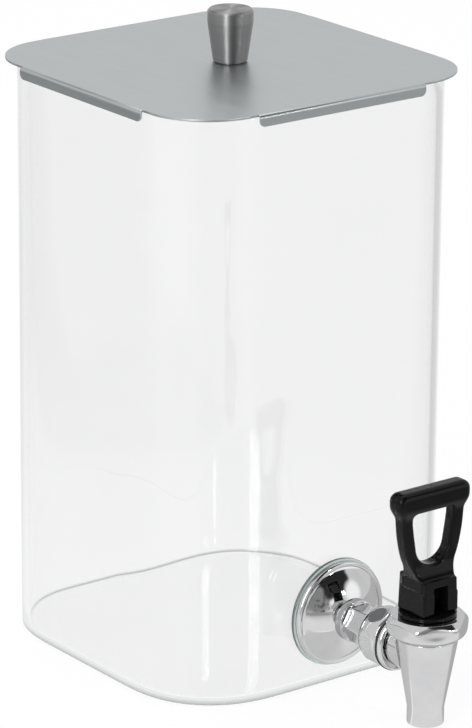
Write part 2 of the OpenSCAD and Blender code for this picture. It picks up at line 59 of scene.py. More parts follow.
LID_TOP = 285.5
WALL_Y = -85.0
TAP_Y = -153.0
TAP_Z = 35.5
HANDLE_Z = 58.25
# The floor is thinner than the source's, as the photograph shows it, and the foot beside it has painted shade, darker
# towards the floor
VESSEL_FLOOR = 2.6
FOOT_TOP = 3.2
# Air left between two faces that touch, so that neither shows through the other
SKIN = 0.04
# Faces that meet at less than this angle, in degrees, are shaded as one
SMOOTH_ANGLE = 32
# A normal that reaches this far along an axis belongs to a flat face
FLAT_FACE = 0.9999


# Places: from a piece's own axes to the shared frame

def on_shank(points):
    """Own Z points out from the front wall, along the shank."""
    return np.stack([points[:, 0], WALL_Y - points[:, 2], TAP_Z + points[:, 1]], 1)


def on_tap(points):
    """Own Z is the tap's upright axis."""
    return points + np.array([0.0, TAP_Y, 0.0])


def on_lid(points):
    """Own Z starts from the lid's top face."""
    return points + np.array([0.0, 0.0, LID_TOP])


def on_floor(points):
    """Own axes are the shared frame's."""
    return points


# Outlines

def eased(points, closed=False, steps=5):
    """Outline of (a, b, radius) corners, each rounded to its radius."""
    out = []
    count = len(points)
    nearly_straight = math.radians(89)
    for i, (a, b, radius) in enumerate(points):
        if radius <= 0 or (not closed and i in (0, count - 1)):
            out.append((a, b))
            continue
        corner = np.array((a, b), float)
        before = np.array(points[i - 1][:2], float) - corner
        after = np.array(points[(i + 1) % count][:2], float) - corner
        room = 0.49 * min(np.linalg.norm(before), np.linalg.norm(after))
        before /= np.linalg.norm(before)
        after /= np.linalg.norm(after)
        half = math.acos(float(np.clip(before @ after, -1, 1))) / 2
        if half > nearly_straight:
            out.append((a, b))
            continue
        cut = min(radius / math.tan(half), room)
        radius = cut * math.tan(half)
        bisector = (before + after) / np.linalg.norm(before + after)
        centre = corner + bisector * radius / math.sin(half)
        start = corner + before * cut - centre
        end = corner + after * cut - centre
        first = math.atan2(start[1], start[0])
        sweep = math.atan2(end[1], end[0]) - first
        sweep = (sweep + math.pi) % (2 * math.pi) - math.pi
        for k in range(steps + 1):
            angle = first + sweep * k / steps
            out.append((centre[0] + radius * math.cos(angle), centre[1] + radius * math.sin(angle)))
    return out


def refined(outline, step):
    """The same closed outline with no stretch longer than step."""
    out = []
    for (a, b), (c, d) in zip(outline, outline[1:] + outline[:1]):
        parts = max(1, math.ceil(math.hypot(c - a, d - b) / step))
        for k in range(parts):
            out.append((a + (c - a) * k / parts, b + (d - b) * k / parts))
    return out


def both_sides(half):
    """A whole outline from its right half, whose ends lie on the middle line."""
    return half + [(-a, b) for a, b in reversed(half[1:-1])]


def vessel_outline(steps=26, ramp=0.3):
    """Points round the vessel, and the outward direction at each. A corner tightens and slackens gradually."""
    fine = 40
    along = np.linspace(0, 1, fine * steps + 1)
    bend = np.minimum(1.0, np.minimum(along, 1 - along) / ramp)
    heading = np.concatenate([[0.0], np.cumsum(bend[1:] + bend[:-1])])
    heading *= math.pi / 2 / heading[-1]
    between = (heading[1:] + heading[:-1]) / 2
    x = np.concatenate([[0.0], np.cumsum(np.cos(between))])
    y = np.concatenate([[0.0], np.cumsum(np.sin(between))])
    scale = VESSEL_CORNER_R * (1 - math.sqrt(0.5)) / y[len(y) // 2]
    half = VESSEL_SIDE / 2
    corner = np.stack([(x - x[-1]) * scale + half, y * scale - half], 1)[::fine]
    outward = np.stack([np.sin(heading), -np.cos(heading)], 1)[::fine]
    points, directions = [], []
    for _ in range(4):
        points.append(corner)
        directions.append(outward)
        corner = np.stack([-corner[:, 1], corner[:, 0]], 1)
        outward = np.stack([-outward[:, 1], outward[:, 0]], 1)
    return np.concatenate(points), np.concatenate(directions)


# Meshes

def linked(name, data):
    """A new object in the scene."""
    obj = bpy.data.objects.new(name, data)
    bpy.context.scene.collection.objects.link(obj)
    return obj


def new_piece(name, verts, faces, material, smooth_angle=SMOOTH_ANGLE):
    """A closed mesh from points in millimetres, shaded smooth up to an angle between faces."""
    mesh = bpy.data.meshes.new(name)
    mesh.from_pydata([tuple(v) for v in np.asarray(verts) * MM], [], faces)
    shell = bmesh.new()
    shell.from_mesh(mesh)
    bmesh.ops.remove_doubles(shell, verts=shell.verts, dist=1e-7)
    bmesh.ops.recalc_face_normals(shell, faces=shell.faces)
    shell.to_mesh(mesh)
    shell.free()
    mesh.polygons.foreach_set("use_smooth", [True] * len(mesh.polygons))
    mesh.set_sharp_from_angle(angle=math.radians(smooth_angle))
    mesh.materials.append(material)
    return linked(name, mesh)


def band(low, high):
    """Faces between two rings of as many points."""
    count = len(low)
    return [(low[k], low[(k + 1) % count], high[(k + 1) % count], high[k]) for k in range(count)]


def turned(profile, place, around=96, closed=True, radius_at=None):
    """Points and faces of a profile of (radius, height) turned about its own Z."""
    angles = np.arange(around) * 2 * math.pi / around
    verts, rings = [], []
    for radius, height in profile:
        if radius < 1e-6:
            rings.append([len(verts)])
            verts.append((0.0, 0.0, height))
            continue
        radii = np.full(around, radius) if radius_at is None else radius_at(radius, height, angles)
        rings.append(list(range(len(verts), len(verts) + around)))
        verts.extend(zip(radii * np.cos(angles), radii * np.sin(angles), np.full(around, height)))
    faces = []
    pairs = list(zip(rings, rings[1:])) + ([(rings[-1], rings[0])] if closed else [])
    for low, high in pairs:
        if len(low) == len(high) == around:
            faces += band(low, high)
        elif len(high) == around:
            faces += [(low[0], high[(k + 1) % around], high[k]) for k in range(around)]
        elif len(low) == around:
            faces += [(low[k], low[(k + 1) % around], high[0]) for k in range(around)]
    return place(np.array(verts, float)), faces


def hexagon(across_flats, turn=0.0, crisp=70, fade=None):
    """Radius of a turned outline where six flats cut it, with slightly eased edges.

    Flats with a fade, a (low, high) pair of heights, run out between them towards the low end.
    """
    flats = np.radians(turn + 30 + 60 * np.arange(6))
    run_out = 0.09

    def radius_at(radius, height, angles):
        wider = 1.0
        if fade:
            share = min(max((fade[1] - height) / (fade[1] - fade[0]), 0.0), 1.0)
            wider += run_out * share * share * (3 - 2 * share)
        reach = np.maximum(np.cos(angles[:, None] - flats[None, :]), 0) / (across_flats * wider / 2)
        return ((1 / radius) ** crisp + (reach ** crisp).sum(1)) ** (-1 / crisp)

    return radius_at


# Solid forms given by their distance, for moulded and cast pieces

def polygon_distance(x, y, outline):
    """Signed distance from points to a closed outline, below zero inside."""
    best = np.full(x.shape, 1e9)
    sign = np.ones(x.shape)
    for (ax, ay), (bx, by) in zip(outline, outline[1:] + outline[:1]):
        ex, ey = bx - ax, by - ay
        wx, wy = x - ax, y - ay
        t = np.clip((wx * ex + wy * ey) / (ex * ex + ey * ey + 1e-12), 0, 1)
        best = np.minimum(best, (wx - ex * t) ** 2 + (wy - ey * t) ** 2)
        above, below, left = y >= ay, y < by, ex * wy > ey * wx
        crossed = (above & below & left) | ~(above | below | left)
        sign = np.where(crossed, -sign, sign)
    return sign * np.sqrt(best)


def overlap(a, b, edge):
    """What two forms share, with rounded edges."""
    a, b = a + edge, b + edge
    return np.hypot(np.maximum(a, 0), np.maximum(b, 0)) + np.minimum(np.maximum(a, b), 0) - edge


def slab(flat, across, half, edge):
    """An outline's distance made into a slab of a half thickness, with rounded edges."""
    return overlap(flat, np.abs(across) - half, edge)


def merged(a, b, fillet):
    """Two forms in one, with a fillet where they meet."""
    h = np.clip(0.5 + 0.5 * (b - a) / fillet, 0, 1)
    return b + (a - b) * h - fillet * h * (1 - h)


def cut_from(a, b, ease):
    """One form without another, with eased edges."""
    return -merged(-a, b, ease)


def moulded(distance, low, high, cell):
    """Points, faces and normals of the surface at which a distance is zero."""
    low, high = np.array(low, float), np.array(high, float)
    axes = [np.arange(low[i] - 2 * cell, high[i] + 3 * cell, cell) for i in range(3)]
    grid = np.stack(np.meshgrid(*axes, indexing="ij"), -1)
    d = distance(grid.reshape(-1, 3)).reshape(grid.shape[:3])
    inside = d < 0
    n = np.array(d.shape) - 1
    total = np.zeros((*n, 3))
    count = np.zeros(tuple(n))
    for axis in range(3):
        step = np.eye(3, dtype=int)[axis]
        others = [i for i in range(3) if i != axis]
        for u in (0, 1):
            for v in (0, 1):
                start = np.zeros(3, int)
                start[others[0]], start[others[1]] = u, v
                end = start + step
                a = d[tuple(slice(s, s + m) for s, m in zip(start, n))]
                b = d[tuple(slice(s, s + m) for s, m in zip(end, n))]
                cross = (a < 0) != (b < 0)
                t = np.where(cross, a / np.where(cross, a - b, 1), 0)
                total += cross[..., None] * (start + t[..., None] * step)
                count += cross
    active = count > 0
    index = np.full(tuple(n), -1)
    index[active] = np.arange(active.sum())
    cells = np.argwhere(active)
    origin = np.array([axis[0] for axis in axes])
    points = origin + (cells + total[active] / count[active][:, None]) * cell
    faces = []
    for axis in range(3):
        u, v = [i for i in range(3) if i != axis]
        first = [slice(None)] * 3
        second = [slice(None)] * 3
        first[axis], second[axis] = slice(0, -1), slice(1, None)
        change = inside[tuple(first)] != inside[tuple(second)]
        for at in np.argwhere(change):
            if at[u] < 1 or at[v] < 1 or at[u] >= n[u] or at[v] >= n[v]:
                continue
            quad = []
            for du, dv in ((-1, -1), (0, -1), (0, 0), (-1, 0)):
                at_cell = at.copy()
                at_cell[u] += du
                at_cell[v] += dv
                quad.append(int(index[tuple(at_cell)]))
            faces.append(tuple(quad))

    def slope(p, reach=0.02):
        columns = []
        for axis in range(3):
            shift = np.zeros(3)
            shift[axis] = reach
            columns.append((distance(p + shift) - distance(p - shift)) / (2 * reach))
        return np.stack(columns, 1)

    # The points slide along the slope onto the surface
    for _ in range(4):
        g = slope(points)
        move = (distance(points) / np.maximum((g * g).sum(1), 0.2))[:, None] * g
        points -= np.clip(move, -0.4 * cell, 0.4 * cell)
    g = slope(points)
    return points, faces, g / np.maximum(np.linalg.norm(g, axis=1), 1e-9)[:, None]


def cast_piece(name, form, low, high, cell, material):
    """A piece from a distance, with the form's own normals."""
    points, faces, normals = moulded(form, low, high, cell)
    obj = new_piece(name, points, faces, material, smooth_angle=180)
    mesh = obj.data
    if len(mesh.vertices) == len(points):
        mesh.normals_split_custom_set_from_vertices([tuple(v) for v in normals])
    return obj


def settle(obj, body, *nodes, slot):
    """The piece rides on a body and stands for its nodes, which are hidden."""
    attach(obj, body)
    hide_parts(*nodes)
    return obj


def sheet_copy(node, material, edge):
    """A new piece with a node's form, whose sharp edges are eased."""
    shell = bmesh.new()
    shell.from_mesh(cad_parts[node].data)
    bmesh.ops.remove_doubles(shell, verts=shell.verts, dist=1e-6)
    bmesh.ops.dissolve_limit(shell, angle_limit=math.radians(0.5), verts=shell.verts, edges=shell.edges)
    bmesh.ops.recalc_face_normals(shell, faces=shell.faces)
    sharp = [e for e in shell.edges if len(e.link_faces) == 2 and e.calc_face_angle() > math.radians(40)]
    bmesh.ops.bevel(
        shell, geom=sharp, offset=edge * MM, offset_type="OFFSET", segments=2, profile=0.5,
        affect="EDGES", clamp_overlap=True,
    )
    bmesh.ops.triangulate(shell, faces=[f for f in shell.faces if len(f.verts) > 4])
    shell.verts.index_update()
    mesh = bpy.data.meshes.new(node + "_finish")
    mesh.from_pydata([v.co[:] for v in shell.verts], [], [[v.index for v in f.verts] for f in shell.faces])
    shell.free()
    mesh.set_sharp_from_angle(angle=math.radians(SMOOTH_ANGLE))
    # The sheet's flat faces stay flat, and only its bends and eased edges are smooth
    mesh.polygons.foreach_set("use_smooth", [max(abs(c) for c in p.normal) < FLAT_FACE for p in mesh.polygons])
    mesh.materials.append(material)
    return linked(node + "_finish", mesh)


# Shader nodes

def fill(tree, socket, value):
    """A socket takes the link of an output, or a plain value."""
    if isinstance(value, bpy.types.NodeSocket):
        tree.links.new(value, socket)
    else:
        socket.default_value = value


def made(tree, kind, **values):
    """A new node with its inputs filled, each named with _ for a space."""
    node = tree.nodes.new(kind)
    for title, value in values.items():
        fill(tree, node.inputs[title.replace("_", " ")], value)
    return node


def object_place(tree):
    return made(tree, "ShaderNodeTexCoord").outputs["Object"]


def noise(tree, place, scale, detail, rough):
    node = made(tree, "ShaderNodeTexNoise", Vector=place, Scale=scale, Detail=detail, Roughness=rough)
    return node.outputs["Fac"]


def maths(tree, operation, first, second):
    node = tree.nodes.new("ShaderNodeMath")
    node.operation = operation
    fill(tree, node.inputs[0], first)
    fill(tree, node.inputs[1], second)
    return node.outputs[0]


def vector_maths(tree, operation, first, second=(0, 0, 0)):
    node = tree.nodes.new("ShaderNodeVectorMath")
    node.operation = operation
    fill(tree, node.inputs[0], first)
    fill(tree, node.inputs[1], second)
    return node.outputs["Value" if operation in ("LENGTH", "DOT_PRODUCT") else "Vector"]


def ranged(tree, value, low, high, to_low=0.0, to_high=1.0, soft=False):
    """A value from low to high made to run from to_low to to_high, and no further."""
    node = made(tree, "ShaderNodeMapRange", Value=value, From_Min=low, From_Max=high, To_Min=to_low, To_Max=to_high)
    if soft:
        node.interpolation_type = "SMOOTHSTEP"
    return node.outputs["Result"]


def mixed(tree, share, first, second):
    """A colour between two others."""
    node = tree.nodes.new("ShaderNodeMix")
    node.data_type = "RGBA"
    for place, value in ((0, share), (6, first), (7, second)):
        fill(tree, node.inputs[place], value)
    return node.outputs[2]


def mix_shaders(tree, share, first, second):
    node = tree.nodes.new("ShaderNodeMixShader")
    for socket, value in zip(node.inputs, (share, first, second)):
        tree.links.new(value, socket)
    return node.outputs[0]


# Shader groups

def new_group(name, inputs, outputs):
    """An empty shader group; inputs are (name, kind, default), outputs (name, kind)."""
    group = bpy.data.node_groups.new(name, "ShaderNodeTree")
    for title, kind, default in inputs:
        socket = group.interface.new_socket(title, in_out="INPUT", socket_type="NodeSocket" + kind)
        if default is not None:
            socket.default_value = default
    for title, kind in outputs:
        group.interface.new_socket(title, in_out="OUTPUT", socket_type="NodeSocket" + kind)
    return group, group.nodes.new("NodeGroupInput").outputs, group.nodes.new("NodeGroupOutput").inputs


def make_metal_grain():
    """Drawn or turned grain: lines of lighter and darker, smoother and rougher metal."""
    group, given, put_out = new_group(
        "metal_grain",
        [("Vector", "Vector", None), ("Dark", "Color", (0.4, 0.4, 0.4, 1)), ("Light", "Color", (0.6, 0.6, 0.6, 1)),
         ("Smooth", "Float", 0.2), ("Rough", "Float", 0.4)],
        [("Colour", "Color"), ("Roughness", "Float"), ("Height", "Float")],
    )
    lines = noise(group, given["Vector"], scale=1.0, detail=4.0, rough=0.6)
    share = ranged(group, lines, 0.3, 0.7)
    fill(group, put_out["Colour"], mixed(group, share, given["Dark"], given["Light"]))
    fill(group, put_out["Roughness"], ranged(group, share, 0.0, 1.0, given["Smooth"], given["Rough"]))
    fill(group, put_out["Height"], lines)
    return group


def make_handling_film():
    """Faint wiped marks: a slow change of roughness and a touch of dulling."""
    group, given, put_out = new_group(
        "handling_film",
        [("Scale", "Float", 40.0), ("Clean", "Float", 0.05), ("Wiped", "Float", 0.15),
         ("Bright", "Color", (1, 1, 1, 1)), ("Dull", "Color", (0.9, 0.9, 0.9, 1))],
        [("Roughness", "Float"), ("Colour", "Color")],
    )
    marks = noise(group, object_place(group), given["Scale"], detail=5.0, rough=0.6)
    share = ranged(group, marks, 0.35, 0.7)
    fill(group, put_out["Roughness"], ranged(group, share, 0.0, 1.0, given["Clean"], given["Wiped"]))
    fill(group, put_out["Colour"], mixed(group, share, given["Bright"], given["Dull"]))
    return group


def make_moulded_skin():
    """The fine skin of a moulded piece, for bump."""
    group, given, put_out = new_group("moulded_skin", [("Scale", "Float", 900.0)], [("Height", "Float")])
    fill(group, put_out["Height"], noise(group, object_place(group), given["Scale"], detail=3.0, rough=0.5))
    return group


METAL_GRAIN = make_metal_grain()
HANDLING_FILM = make_handling_film()
MOULDED_SKIN = make_moulded_skin()


# Finishes

BUMP_DEPTH = 0.0002


class Finish:
    """One material with its Principled shader and the nodes that feed it."""

    def __init__(self, name, **sockets):
        self.material = bpy.data.materials.new(name)
        self.material.use_nodes = True
        self.tree = self.material.node_tree
        self.shader = self.tree.nodes["Principled BSDF"]
        for title, value in sockets.items():
            self.shader.inputs[title.replace("_", " ")].default_value = value

    def feed(self, output, socket):
        self.tree.links.new(output, self.shader.inputs[socket])

    def group(self, tree, **values):
        """A shader group, whose colour and roughness feed the shader."""
        node = self.tree.nodes.new("ShaderNodeGroup")
        node.node_tree = tree
        for title, value in values.items():
            fill(self.tree, node.inputs[title], value)
        for title, socket in (("Colour", "Base Color"), ("Roughness", "Roughness")):
            if title in node.outputs:
                self.feed(node.outputs[title], socket)
        return node.outputs

    def bump(self, height, strength):
        node = made(self.tree, "ShaderNodeBump", Height=height, Strength=strength, Distance=BUMP_DEPTH)
        self.feed(node.outputs["Normal"], "Normal")

    def grained(self, lines, bump, **values):
        """Metal grain that runs along the lines, with its bump."""
        self.bump(self.group(METAL_GRAIN, Vector=lines, **values)["Height"], bump)

    def stretched(self, scale):
        """Object coordinates, drawn out so that noise becomes lines."""
        return made(self.tree, "ShaderNodeMapping", Vector=object_place(self.tree), Scale=scale).outputs["Vector"]

    def ringed(self, scale):
        """Coordinates that change with the radius and the height about the upright axis, and not round it."""
        parts = made(self.tree, "ShaderNodeSeparateXYZ", Vector=object_place(self.tree)).outputs
        flat = made(self.tree, "ShaderNodeCombineXYZ", X=parts["X"], Y=parts["Y"]).outputs["Vector"]
        radius = vector_maths(self.tree, "LENGTH", flat)
        joined = made(self.tree, "ShaderNodeCombineXYZ", X=radius, Y=parts["Z"]).outputs["Vector"]
        return vector_maths(self.tree, "MULTIPLY", joined, (scale, scale, 1.0))


def make_clear_wall(name, foot_painted_shade=None):
    """Clear moulded wall: a faint tint and a film of handling, with a painted pale glow for rays caught in the wall.
    A foot has painted shade, its colour darker towards the floor's edge.
    """
    f = Finish(name, Transmission_Weight=1.0, IOR=1.49)
    film = f.group(HANDLING_FILM, Scale=14.0, Clean=0.0, Wiped=0.012,
                   Bright=(0.950, 0.951, 0.951, 1), Dull=(0.940, 0.941, 0.941, 1))
    mirrors_met = made(f.tree, "ShaderNodeLightPath").outputs["Glossy Depth"]
    if foot_painted_shade:
        # Mirrored images of the foot are left as clear as the wall, without the painted shade
        parts = made(f.tree, "ShaderNodeSeparateXYZ", Vector=object_place(f.tree)).outputs
        height = ranged(f.tree, parts["Z"], 0.0, FOOT_TOP * MM)
        clear = maths(f.tree, "MAXIMUM", height, maths(f.tree, "GREATER_THAN", mirrors_met, 0.5))
        f.feed(mixed(f.tree, clear, foot_painted_shade, film["Colour"]), "Base Color")
    # Where a ray goes round inside the wall many times, the wall shows a painted pale glow, an emission that stands
    # in for that light at the edge
    painted_glow_share = maths(f.tree, "GREATER_THAN", mirrors_met, 2.5)
    edge = made(f.tree, "ShaderNodeEmission", Color=(0.84, 0.86, 0.86, 1), Strength=1.0)
    seen = mix_shaders(f.tree, painted_glow_share, f.shader.outputs[0], edge.outputs[0])
    f.tree.links.new(seen, f.tree.nodes["Material Output"].inputs["Surface"])
    return f.material


def make_lid_steel():
    f = Finish("brushed_lid_steel", Metallic=1.0)
    f.grained(f.stretched((2600.0, 30.0, 2600.0)), bump=0.12,
              Dark=(0.446, 0.470, 0.478, 1), Light=(0.532, 0.558, 0.567, 1), Smooth=0.30, Rough=0.42)
    return f.material


def make_knob_steel():
    """Turned steel: its fine rings draw each reflection out along the knob."""
    f = Finish("turned_knob_steel", Metallic=1.0, Anisotropic=0.9, Anisotropic_Rotation=0.25)
    around = f.tree.nodes.new("ShaderNodeTangent")
    around.direction_type = "RADIAL"
    around.axis = "Z"
    f.feed(around.outputs["Tangent"], "Tangent")
    f.grained(f.ringed(3200.0), bump=0.015,
              Dark=(0.29, 0.29, 0.29, 1), Light=(0.34, 0.34, 0.34, 1), Smooth=0.38, Rough=0.46)
    return f.material


def make_plain_steel():
    f = Finish("plain_steel", Metallic=1.0)
    f.grained(f.stretched((900.0, 900.0, 900.0)), bump=0.1,
              Dark=(0.42, 0.42, 0.42, 1), Light=(0.58, 0.58, 0.57, 1), Smooth=0.22, Rough=0.4)
    return f.material


def make_chrome():
    f = Finish("polished_chrome", Metallic=1.0, Specular_Tint=(0.8, 0.8, 0.8, 1))
    f.group(HANDLING_FILM, Scale=60.0, Clean=0.03, Wiped=0.09,
            Bright=(0.66, 0.66, 0.665, 1), Dull=(0.60, 0.60, 0.61, 1))
    return f.material


def make_clear_gasket():
    f = Finish("clear_soft_gasket", Transmission_Weight=0.85, IOR=1.43)
    f.group(HANDLING_FILM, Scale=90.0, Clean=0.12, Wiped=0.25,
            Bright=(0.80, 0.88, 0.86, 1), Dull=(0.70, 0.80, 0.78, 1))
    return f.material


def make_moulding(name, skin, bump, gloss=0.5, **film):
    """Moulded plastic or rubber: a film of handling over a fine skin."""
    f = Finish(name, Specular_IOR_Level=gloss)
    f.group(HANDLING_FILM, **film)
    f.bump(f.group(MOULDED_SKIN, Scale=skin)["Height"], bump)
    return f.material


CLEAR_VESSEL = make_clear_wall("clear_vessel_wall")
VESSEL_FOOT_PAINTED_SHADE = make_clear_wall("vessel_foot_painted_shade", foot_painted_shade=(0.11, 0.112, 0.112, 1))
LID_STEEL = make_lid_steel()
KNOB_STEEL = make_knob_steel()
PLAIN_STEEL = make_plain_steel()
CHROME = make_chrome()
CLEAR_GASKET = make_clear_gasket()
BLACK_HANDLE = make_moulding(
    "gloss_black_handle", skin=900.0, bump=0.03, gloss=0.14, Scale=70.0, Clean=0.06, Wiped=0.12,
    Bright=(0.004, 0.004, 0.0045, 1), Dull=(0.006, 0.006, 0.006, 1))
SOFT_SEAL = make_moulding(
    "soft_pale_seal", skin=1500.0, bump=0.1, Scale=120.0, Clean=0.45, Wiped=0.6,
    Bright=(0.66, 0.66, 0.64, 1), Dull=(0.58, 0.58, 0.56, 1))
DARK_SEAL = make_moulding(
    "black_seal_rubber", skin=1500.0, bump=0.1, Scale=120.0, Clean=0.45, Wiped=0.6,
    Bright=(0.02, 0.02, 0.02, 1), Dull=(0.035, 0.035, 0.035, 1))
WHITE_BUSH = make_moulding(
    "white_bush_plastic", skin=1200.0, bump=0.08, Scale=120.0, Clean=0.35, Wiped=0.5,
    Bright=(0.82, 0.82, 0.80, 1), Dull=(0.76, 0.76, 0.74, 1))


# Vessel

def make_vessel():
    foot, rim, fillet = 1.2, 0.9, 1.6
    top, wall_heights, above_fillet = VESSEL_H - SKIN, [60.0, 180.0, 276.0], 12.0
    quarter = [math.radians(a) for a in np.linspace(0, 90, 7)]
    stations = [(foot - foot * math.sin(a), foot - foot * math.cos(a)) for a in quarter]
    stations += [(0.0, height) for height in [FOOT_TOP] + wall_heights]
    stations += [(rim - rim * math.cos(a), top - rim + rim * math.sin(a)) for a in quarter]
    inner = VESSEL_WALL - rim
    stations += [(inner + rim * math.sin(a), top - rim + rim * math.cos(a)) for a in quarter]
    stations += [(VESSEL_WALL, height) for height in wall_heights[::-1] + [above_fillet]]
    low = VESSEL_FLOOR + fillet
    stations += [(VESSEL_WALL + fillet - fillet * math.cos(a), low - fillet * math.sin(a)) for a in quarter]
    outline, outward = vessel_outline()
    verts, rings = [], []
    for inset, height in stations:
        loop = outline - outward * inset
        rings.append(list(range(len(verts), len(verts) + len(loop))))
        verts.extend((x, y, height) for x, y in loop)
    faces = [tuple(reversed(rings[0])), tuple(rings[-1])]
    for low_ring, high_ring in zip(rings, rings[1:]):
        faces += band(low_ring, high_ring)
    obj = new_piece("clear_vessel", np.array(verts), faces, CLEAR_VESSEL)
    obj.data.materials.append(VESSEL_FOOT_PAINTED_SHADE)
    # The foot's outer faces take the finish with painted shade
    underside = 0.98
    for face in obj.data.polygons:
        outside = face.normal.x * face.center.x + face.normal.y * face.center.y > 0
        if outside and face.center.z < FOOT_TOP * MM and abs(face.normal.z) < underside:
            face.material_index = 1

    hole_r, reach = WALL_HOLE_D / 2, 10
    drill_points, drill_faces = turned(
        [(0, -reach), (hole_r, -reach), (hole_r, reach), (0, reach)], on_shank, 96, closed=False)
    drill = new_piece("tap_hole_drill", drill_points, drill_faces, CLEAR_VESSEL)
    hole = obj.modifiers.new("tap_hole", "BOOLEAN")
    hole.operation = "DIFFERENCE"
    hole.solver = "EXACT"
    hole.object = drill
    bpy.context.view_layer.update()
    drilled = bpy.data.meshes.new_from_object(obj.evaluated_get(bpy.context.evaluated_depsgraph_get()))
    obj.modifiers.clear()
    obj.data = drilled
    bpy.data.objects.remove(drill)
    drilled.set_sharp_from_angle(angle=math.radians(SMOOTH_ANGLE))
    drilled.polygons.foreach_set("use_smooth", [abs(p.normal.z) < FLAT_FACE for p in drilled.polygons])
    settle(obj, "dispenser", "vessel", slot="clear_vessel")


make_vessel()


# Lid

def make_lid():
    sheet_edge, fastener_edge = 0.22, 0.15
    settle(sheet_copy("lid_plate", LID_STEEL, sheet_edge), "lid", "lid_plate", slot="lid_steel")

    top, top_r, neck, foot_r, screw_r, screw_end = 25.4, 10.9, 0.6, 7.0, 2.55, 13.0
    knob = eased([
        (0, top, 0), (9.9, top, 0.6), (top_r, 24.4, 1.2), (top_r, 19.4, 6.0), (8.2, neck, 0.4), (foot_r, neck, 0.15),
        (foot_r, SKIN, 0.1), (screw_r, SKIN, 0.1), (screw_r, screw_end, 0.1), (0, screw_end, 0),
    ])
    points, faces = turned(knob, on_lid, 96, closed=False)
    settle(new_piece("turned_knob", points, faces, KNOB_STEEL), "lid", "lid_knob", slot="knob_steel")
    for node in ("knob_washer", "knob_screw"):
        settle(sheet_copy(node, PLAIN_STEEL, fastener_edge), "lid", node, slot="fastener_steel")


make_lid()


# Wall fitting

def ring_piece(name, node, radii, ends, edge, material, slot, body="dispenser", place=on_shank, around=96):
    """A flat ring between two radii and two ends, with eased edges."""
    (inner, outer), (start, end) = radii, ends
    profile = eased([(inner, start, edge), (outer, start, edge), (outer, end, edge), (inner, end, edge)], True, 4)
    points, faces = turned(profile, place, around)
    settle(new_piece(name, points, faces, material), body, node, slot=slot)


def chrome_turning(name, node, outline, place, around, radius_at=None):
    """A chromed piece turned from its closed outline."""
    points, faces = turned(outline, place, around, radius_at=radius_at)
    settle(new_piece(name, points, faces, CHROME), "dispenser", node, slot="tap_chrome")


def make_escutcheon():
    rim, dome_r, seat, hole, inner_r = 25.4, 22.8, 10.3, 8.3, 22.0
    start, flat, top, shell = 1.8 + SKIN, 4.8, 13.0, 1.2
    rise = top - flat
    sink = (dome_r ** 2 - seat ** 2 - rise ** 2) / (2 * rise)
    ball = math.hypot(dome_r, sink)
    wide, narrow = math.asin(dome_r / ball), math.asin(seat / ball)
    edge_run = 3.0
    dome = [(ball * math.sin(a), flat - sink + ball * math.cos(a), 0)
            for a in np.linspace(wide - edge_run / ball, narrow, 20)]
    dome = [(dome_r, flat, 2.9)] + dome[:-1] + [(seat, top, 0.4)]
    thin = ball - shell
    inner = [(thin * math.sin(a), flat - sink + thin * math.cos(a), 0)
             for a in np.linspace(math.asin(hole / thin), math.asin(inner_r / thin), 12)]
    profile = [(rim, start, 0.3), (rim, flat, 1.27)] + dome + [(hole, top, 0.2)] + inner
    profile += [(rim - shell, flat - shell, 0.4), (rim - shell, start, 0.3)]
    chrome_turning("domed_escutcheon", "escutcheon", eased(profile, True, 8), on_shank, 144)


def make_shank():
    tail, collar, hex_start, nut, tip = -14.7, 13.0, 17.2, 33.0, 57.0
    bore_r, thread_r, collar_r, hex_r, tip_r = 4.0, 8.0, 10.3, 9.82, 6.5
    pitch, thread_depth, thread_end = 1.5, 0.75, -0.5
    profile = eased([
        (bore_r, tail, 0.2), (thread_r, tail, 0.6), (thread_r, collar - 0.4, 0.1), (collar_r, collar + SKIN, 0.35),
        (collar_r, hex_start, 0.5), (hex_r, hex_start, 0.05), (hex_r, nut, 0.05), (tip_r, nut, 0.1),
        (tip_r, tip, 0.5), (bore_r, tip, 0.3),
    ], True, 5)
    flats = hexagon(17.0)

    def radius_at(radius, height, angles):
        if tail + 0.3 < height < thread_end and radius > tip_r:
            turn = (height / pitch - angles / (2 * math.pi)) % 1.0
            return radius - thread_depth * np.abs(2 * turn - 1)
        if hex_start + 0.3 < height < nut - 0.02 and radius > thread_r:
            return flats(radius, height, angles)
        return np.full(angles.shape, radius)

    chrome_turning("shank_with_thread", "shank", refined(profile, 0.18), on_shank, 144, radius_at)


